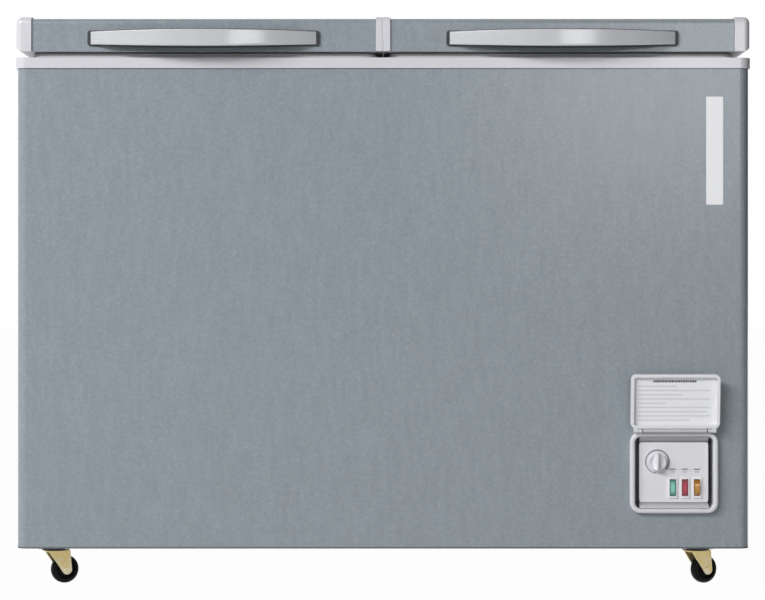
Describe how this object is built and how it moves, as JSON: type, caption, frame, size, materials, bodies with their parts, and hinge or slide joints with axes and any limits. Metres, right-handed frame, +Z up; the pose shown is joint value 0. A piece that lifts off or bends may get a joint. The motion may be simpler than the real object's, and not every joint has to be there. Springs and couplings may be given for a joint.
{
  "type": "chest freezer",
  "caption": "Wide chest freezer with side by side lifting lids, bowed silver grips, separate storage zones, a control recess with a flip-up cover, and swivel casters.",
  "frame": {"origin": "on the floor under the middle of the freezer's bounding box", "axes": "+X to the viewer's right facing the front, +Y to the back, +Z up"},
  "size_m": [1.0907, 0.663, 0.845],
  "materials": {
    "speckled_paint": "satin paint with a fine speckle",
    "galvanised_sheet": "galvanised sheet",
    "foam": "rigid polyurethane foam",
    "liner_sheet": "embossed aluminium sheet",
    "white_sheet": "glossy white sheet",
    "pale_plastic": "fine grain moulding",
    "grey_plastic": "fine grain moulding",
    "dark_plastic": "fine grain moulding",
    "knob_plastic": "smooth moulding",
    "cover_plastic": "smooth moulding",
    "silver_trim": "satin silver",
    "grey_rubber": "soft matt seal",
    "black_rubber": "matt rubber",
    "coil_tube": "drawn tube",
    "steel_tube": "coated steel tube",
    "copper": "drawn copper",
    "black_enamel": "gloss black enamel",
    "zinc_steel": "bright zinc plate",
    "yellow_zinc": "yellow zinc plate",
    "wheel_black": "black nylon",
    "green_lens": "translucent lens",
    "red_lens": "translucent lens",
    "amber_lens": "translucent lens"
  },
  "bodies": {
    "cabinet": {"outer_shell": "speckled_paint", "back_panel": "galvanised_sheet", "base_pan": "galvanised_sheet", "compartment_bulkhead": "galvanised_sheet", "cabinet_foam": "foam", "left_liner": "liner_sheet", "right_liner": "liner_sheet", "top_collar": "pale_plastic", "left_evaporator": "coil_tube", "right_evaporator": "coil_tube", "condenser_coil": "steel_tube", "compressor": "black_enamel", "compressor_grommets": "black_rubber", "compressor_studs": "zinc_steel", "terminal_cover": "dark_plastic", "filter_drier": "copper", "refrigerant_lines": "copper", "side_grille": "grey_plastic", "rear_cover": "galvanised_sheet", "sheet_metal_screws": "zinc_steel", "cord_gland": "black_rubber", "hinge_brackets": "zinc_steel", "hinge_pins": "zinc_steel", "panel_bezel": "pale_plastic", "panel_box": "dark_plastic", "panel_plate": "pale_plastic", "thermostat": "zinc_steel", "power_lamp": "green_lens", "run_lamp": "red_lens", "lamp_frames": "grey_plastic", "caster_plates": "zinc_steel", "caster_screws": "zinc_steel"},
    "left_lid": {"left_lid_skin": "speckled_paint", "left_lid_end_caps": "pale_plastic", "left_lid_foam": "foam", "left_lid_liner": "white_sheet", "left_lid_gasket": "grey_rubber", "left_handle_grip": "silver_trim", "left_handle_backing": "dark_plastic", "left_hinge_leaves": "zinc_steel"},
    "right_lid": {"right_lid_skin": "speckled_paint", "right_lid_end_caps": "pale_plastic", "right_lid_foam": "foam", "right_lid_liner": "white_sheet", "right_lid_gasket": "grey_rubber", "right_handle_grip": "silver_trim", "right_handle_backing": "dark_plastic", "right_hinge_leaves": "zinc_steel"},
    "flip_cover": {"panel_cover": "cover_plastic"},
    "knob": {"thermostat_knob": "knob_plastic"},
    "rocker": {"quick_freeze_rocker": "amber_lens"},
    "front_left_swivel": {"front_left_caster_fork": "yellow_zinc"},
    "front_left_roller": {"front_left_caster_wheel": "wheel_black"},
    "front_right_swivel": {"front_right_caster_fork": "yellow_zinc"},
    "front_right_roller": {"front_right_caster_wheel": "wheel_black"},
    "rear_left_swivel": {"rear_left_caster_fork": "yellow_zinc"},
    "rear_left_roller": {"rear_left_caster_wheel": "wheel_black"},
    "rear_right_swivel": {"rear_right_caster_fork": "yellow_zinc"},
    "rear_right_roller": {"rear_right_caster_wheel": "wheel_black"}
  },
  "joints": [
    {"name": "left_lid_hinge", "type": "hinge", "parent": "cabinet", "child": "left_lid", "pos_m": [-0.27, 0.3245, 0.7915], "axis": [-1, 0, 0], "range_deg": [0, 95]},
    {"name": "right_lid_hinge", "type": "hinge", "parent": "cabinet", "child": "right_lid", "pos_m": [0.27, 0.3245, 0.7915], "axis": [-1, 0, 0], "range_deg": [0, 95]},
    {"name": "flip_cover_hinge", "type": "hinge", "parent": "cabinet", "child": "flip_cover", "pos_m": [0.4303, -0.305, 0.23305], "axis": [1, 0, 0], "range_deg": [0, 174]},
    {"name": "knob_turn", "type": "hinge", "parent": "cabinet", "child": "knob", "pos_m": [0.4055, -0.2965, 0.1866], "axis": [0, -1, 0], "range_deg": [-135, 135]},
    {"name": "rocker_tilt", "type": "hinge", "parent": "cabinet", "child": "rocker", "pos_m": [0.4646, -0.2925, 0.1483], "axis": [1, 0, 0], "range_deg": [-7, 7]},
    {"name": "front_left_swivel_turn", "type": "hinge", "parent": "cabinet", "child": "front_left_swivel", "pos_m": [-0.4922, -0.2385, 0.049], "axis": [0, 0, 1], "continuous": true},
    {"name": "front_left_wheel_roll", "type": "hinge", "parent": "front_left_swivel", "child": "front_left_roller", "pos_m": [-0.47967, -0.23225, 0.021], "axis": [-0.4462, 0.8949, 0], "continuous": true},
    {"name": "front_right_swivel_turn", "type": "hinge", "parent": "cabinet", "child": "front_right_swivel", "pos_m": [0.4705, -0.2385, 0.049], "axis": [0, 0, 1], "continuous": true},
    {"name": "front_right_wheel_roll", "type": "hinge", "parent": "front_right_swivel", "child": "front_right_roller", "pos_m": [0.48303, -0.23225, 0.021], "axis": [-0.4462, 0.8949, 0], "continuous": true},
    {"name": "rear_left_swivel_turn", "type": "hinge", "parent": "cabinet", "child": "rear_left_swivel", "pos_m": [-0.4922, 0.2575, 0.049], "axis": [0, 0, 1], "continuous": true},
    {"name": "rear_left_wheel_roll", "type": "hinge", "parent": "rear_left_swivel", "child": "rear_left_roller", "pos_m": [-0.47967, 0.26375, 0.021], "axis": [-0.4462, 0.8949, 0], "continuous": true},
    {"name": "rear_right_swivel_turn", "type": "hinge", "parent": "cabinet", "child": "rear_right_swivel", "pos_m": [0.4705, 0.2575, 0.049], "axis": [0, 0, 1], "continuous": true},
    {"name": "rear_right_wheel_roll", "type": "hinge", "parent": "rear_right_swivel", "child": "rear_right_roller", "pos_m": [0.48303, 0.26375, 0.021], "axis": [-0.4462, 0.8949, 0], "continuous": true}
  ]
}
